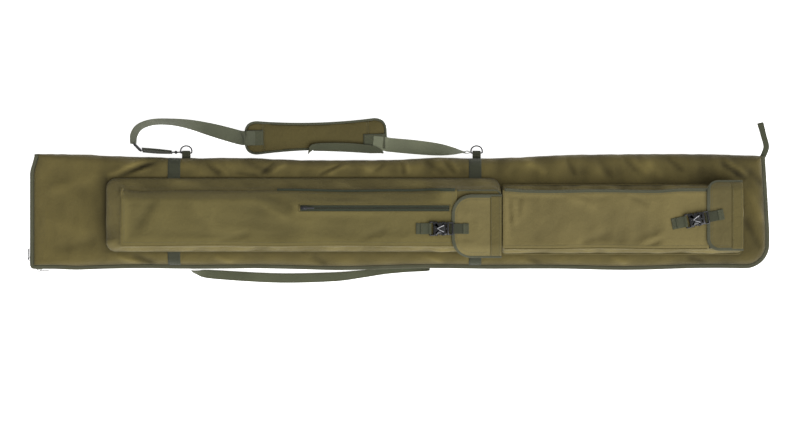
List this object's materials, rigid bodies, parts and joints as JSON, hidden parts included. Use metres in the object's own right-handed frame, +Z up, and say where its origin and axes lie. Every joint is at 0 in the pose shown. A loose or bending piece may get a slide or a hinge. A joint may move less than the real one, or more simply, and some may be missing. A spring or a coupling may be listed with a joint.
{
  "type": "rod case",
  "caption": "Long padded clamshell case for fishing rods, zipped on three sides, with two buckled outer pockets, webbing bands, carry handles and a padded shoulder strap.",
  "frame": {"origin": "middle of the bounding box at floor level, with the case lying on its back", "axes": "+X along the length towards the end with the pull tab, +Y towards the folding spine and the shoulder strap, +Z up out of the front"},
  "size_m": [1.9836, 0.4425, 0.1325],
  "materials": {
    "olive_cloth": "woven polyester, matt with a slight sheen",
    "pad_cloth": "woven polyester over foam",
    "lining_cloth": "smooth woven lining",
    "webbing": "grey-green woven webbing",
    "edge_binding": "woven binding tape",
    "zip_tape": "woven zip tape with nylon coil",
    "black_plastic": "moulded acetal",
    "dark_metal": "black painted zinc",
    "foam": "closed-cell foam"
  },
  "bodies": {
    "case_back": {"back_panel": "olive_cloth", "back_edge_binding": "edge_binding", "back_gusset": "olive_cloth", "spine_panel": "olive_cloth", "back_lining": "lining_cloth", "zip_tape_back": "zip_tape", "band_1_back": "webbing", "band_2_back": "webbing", "rod_strap_1": "webbing", "rod_strap_2": "webbing", "rod_strap_3": "webbing", "tip_pocket": "lining_cloth", "butt_pad": "foam", "d_ring_left_tab": "webbing", "d_ring_right_tab": "webbing"},
    "case_front": {"front_panel": "olive_cloth", "front_edge_binding": "edge_binding", "front_lining": "lining_cloth", "zip_tape_front": "zip_tape", "end_zip_tape_front": "zip_tape", "band_1_front": "webbing", "band_2_front": "webbing", "long_pocket_gusset": "olive_cloth", "long_pocket_face": "olive_cloth", "long_pocket_piping": "edge_binding", "upper_pocket_gusset": "olive_cloth", "upper_pocket_face": "olive_cloth", "upper_pocket_piping": "edge_binding", "buckle_1_strap": "webbing", "buckle_1_female": "black_plastic", "buckle_2_strap": "webbing", "buckle_2_female": "black_plastic", "pocket_zip": "zip_tape"},
    "long_pocket_flap": {"flap_1": "olive_cloth", "flap_1_binding": "edge_binding", "flap_1_strap": "webbing"},
    "upper_pocket_flap": {"flap_2": "olive_cloth", "flap_2_binding": "edge_binding", "flap_2_strap": "webbing"},
    "buckle_1_plug": {"buckle_1_male": "black_plastic"},
    "buckle_2_plug": {"buckle_2_male": "black_plastic"},
    "main_zip_runner": {"main_zip_slider": "dark_metal"},
    "main_zip_pull": {"main_zip_puller": "black_plastic"},
    "end_zip_runner": {"end_zip_slider": "dark_metal"},
    "end_zip_pull": {"end_zip_puller": "black_plastic"},
    "pocket_zip_runner": {"pocket_zip_slider": "dark_metal"},
    "pocket_zip_pull": {"pocket_zip_puller": "black_plastic"},
    "shoulder_strap": {"d_ring_left": "dark_metal", "d_ring_right": "dark_metal", "strap_hook_left": "black_plastic", "strap_webbing_doubled": "webbing", "tri_glide": "black_plastic", "strap_webbing_left": "webbing", "strap_webbing_right": "webbing", "shoulder_pad": "pad_cloth", "pad_patch_left": "webbing", "pad_patch_right": "webbing"},
    "top_grip": {"top_handle": "webbing"},
    "bottom_grip": {"bottom_handle": "webbing"},
    "end_pull": {"grab_tab": "webbing"}
  },
  "joints": [
    {"name": "case_open", "type": "hinge", "parent": "case_back", "child": "case_front", "pos_m": [0.00425, 0.11868, 0.0333], "axis": [-1, 0, 0], "range_deg": [0, 110]},
    {"name": "flap_1_lift", "type": "hinge", "parent": "case_front", "child": "long_pocket_flap", "pos_m": [0.27225, -0.06832, 0.1211], "axis": [0, 1, 0], "range_deg": [0, 150]},
    {"name": "flap_2_lift", "type": "hinge", "parent": "case_front", "child": "upper_pocket_flap", "pos_m": [0.90925, -0.04032, 0.1131], "axis": [0, 1, 0], "range_deg": [0, 150]},
    {"name": "buckle_1_release", "type": "slide", "parent": "long_pocket_flap", "child": "buckle_1_plug", "axis": [1, 0, 0], "range_m": [0, 0.022], "deforming": ["buckle_1_male"]},
    {"name": "buckle_2_release", "type": "slide", "parent": "upper_pocket_flap", "child": "buckle_2_plug", "axis": [0.9816, 0.1908, 0], "range_m": [0, 0.022], "deforming": ["buckle_2_male"]},
    {"name": "main_zip_run", "type": "slide", "parent": "case_back", "child": "main_zip_runner", "axis": [1, 0, 0], "range_m": [0, 1.86]},
    {"name": "main_zip_pull_flip", "type": "hinge", "parent": "main_zip_runner", "child": "main_zip_pull", "pos_m": [-0.96075, -0.18852, 0.0254], "axis": [0, 0, -1], "range_deg": [0, 170]},
    {"name": "end_zip_run", "type": "slide", "parent": "case_back", "child": "end_zip_runner", "axis": [0, 1, 0], "range_m": [0, 0.25]},
    {"name": "end_zip_pull_flip", "type": "hinge", "parent": "end_zip_runner", "child": "end_zip_pull", "pos_m": [-0.98895, -0.15632, 0.0254], "axis": [0, 0, 1], "range_deg": [0, 170]},
    {"name": "pocket_zip_run", "type": "slide", "parent": "case_front", "child": "pocket_zip_runner", "axis": [1, 0, 0], "range_m": [0, 0.372]},
    {"name": "pocket_zip_pull_flip", "type": "hinge", "parent": "pocket_zip_runner", "child": "pocket_zip_pull", "pos_m": [-0.24875, -0.02132, 0.1288], "axis": [0, -1, 0], "range_deg": [0, 170]},
    {"name": "shoulder_strap_swing", "type": "hinge", "parent": "case_back", "child": "shoulder_strap", "pos_m": [-0.17875, 0.12668, 0.024], "axis": [-1, 0, 0], "range_deg": [-90, 0]},
    {"name": "top_handle_swing", "type": "hinge", "parent": "case_back", "child": "top_grip", "pos_m": [-0.14075, 0.12668, 0.024], "axis": [-1, 0, 0], "range_deg": [-90, 0]},
    {"name": "bottom_handle_swing", "type": "hinge", "parent": "case_back", "child": "bottom_grip", "pos_m": [-0.23575, -0.18832, 0.013], "axis": [-1, 0, 0], "range_deg": [0, 85]},
    {"name": "grab_tab_flop", "type": "hinge", "parent": "case_back", "child": "end_pull", "pos_m": [0.97825, 0.12218, 0.024], "axis": [-1, 0, 0], "range_deg": [-90, 0]}
  ],
  "couplings": [
    {"joint": "top_handle_swing", "follows": "shoulder_strap_swing", "ratio": 1}
  ]
}
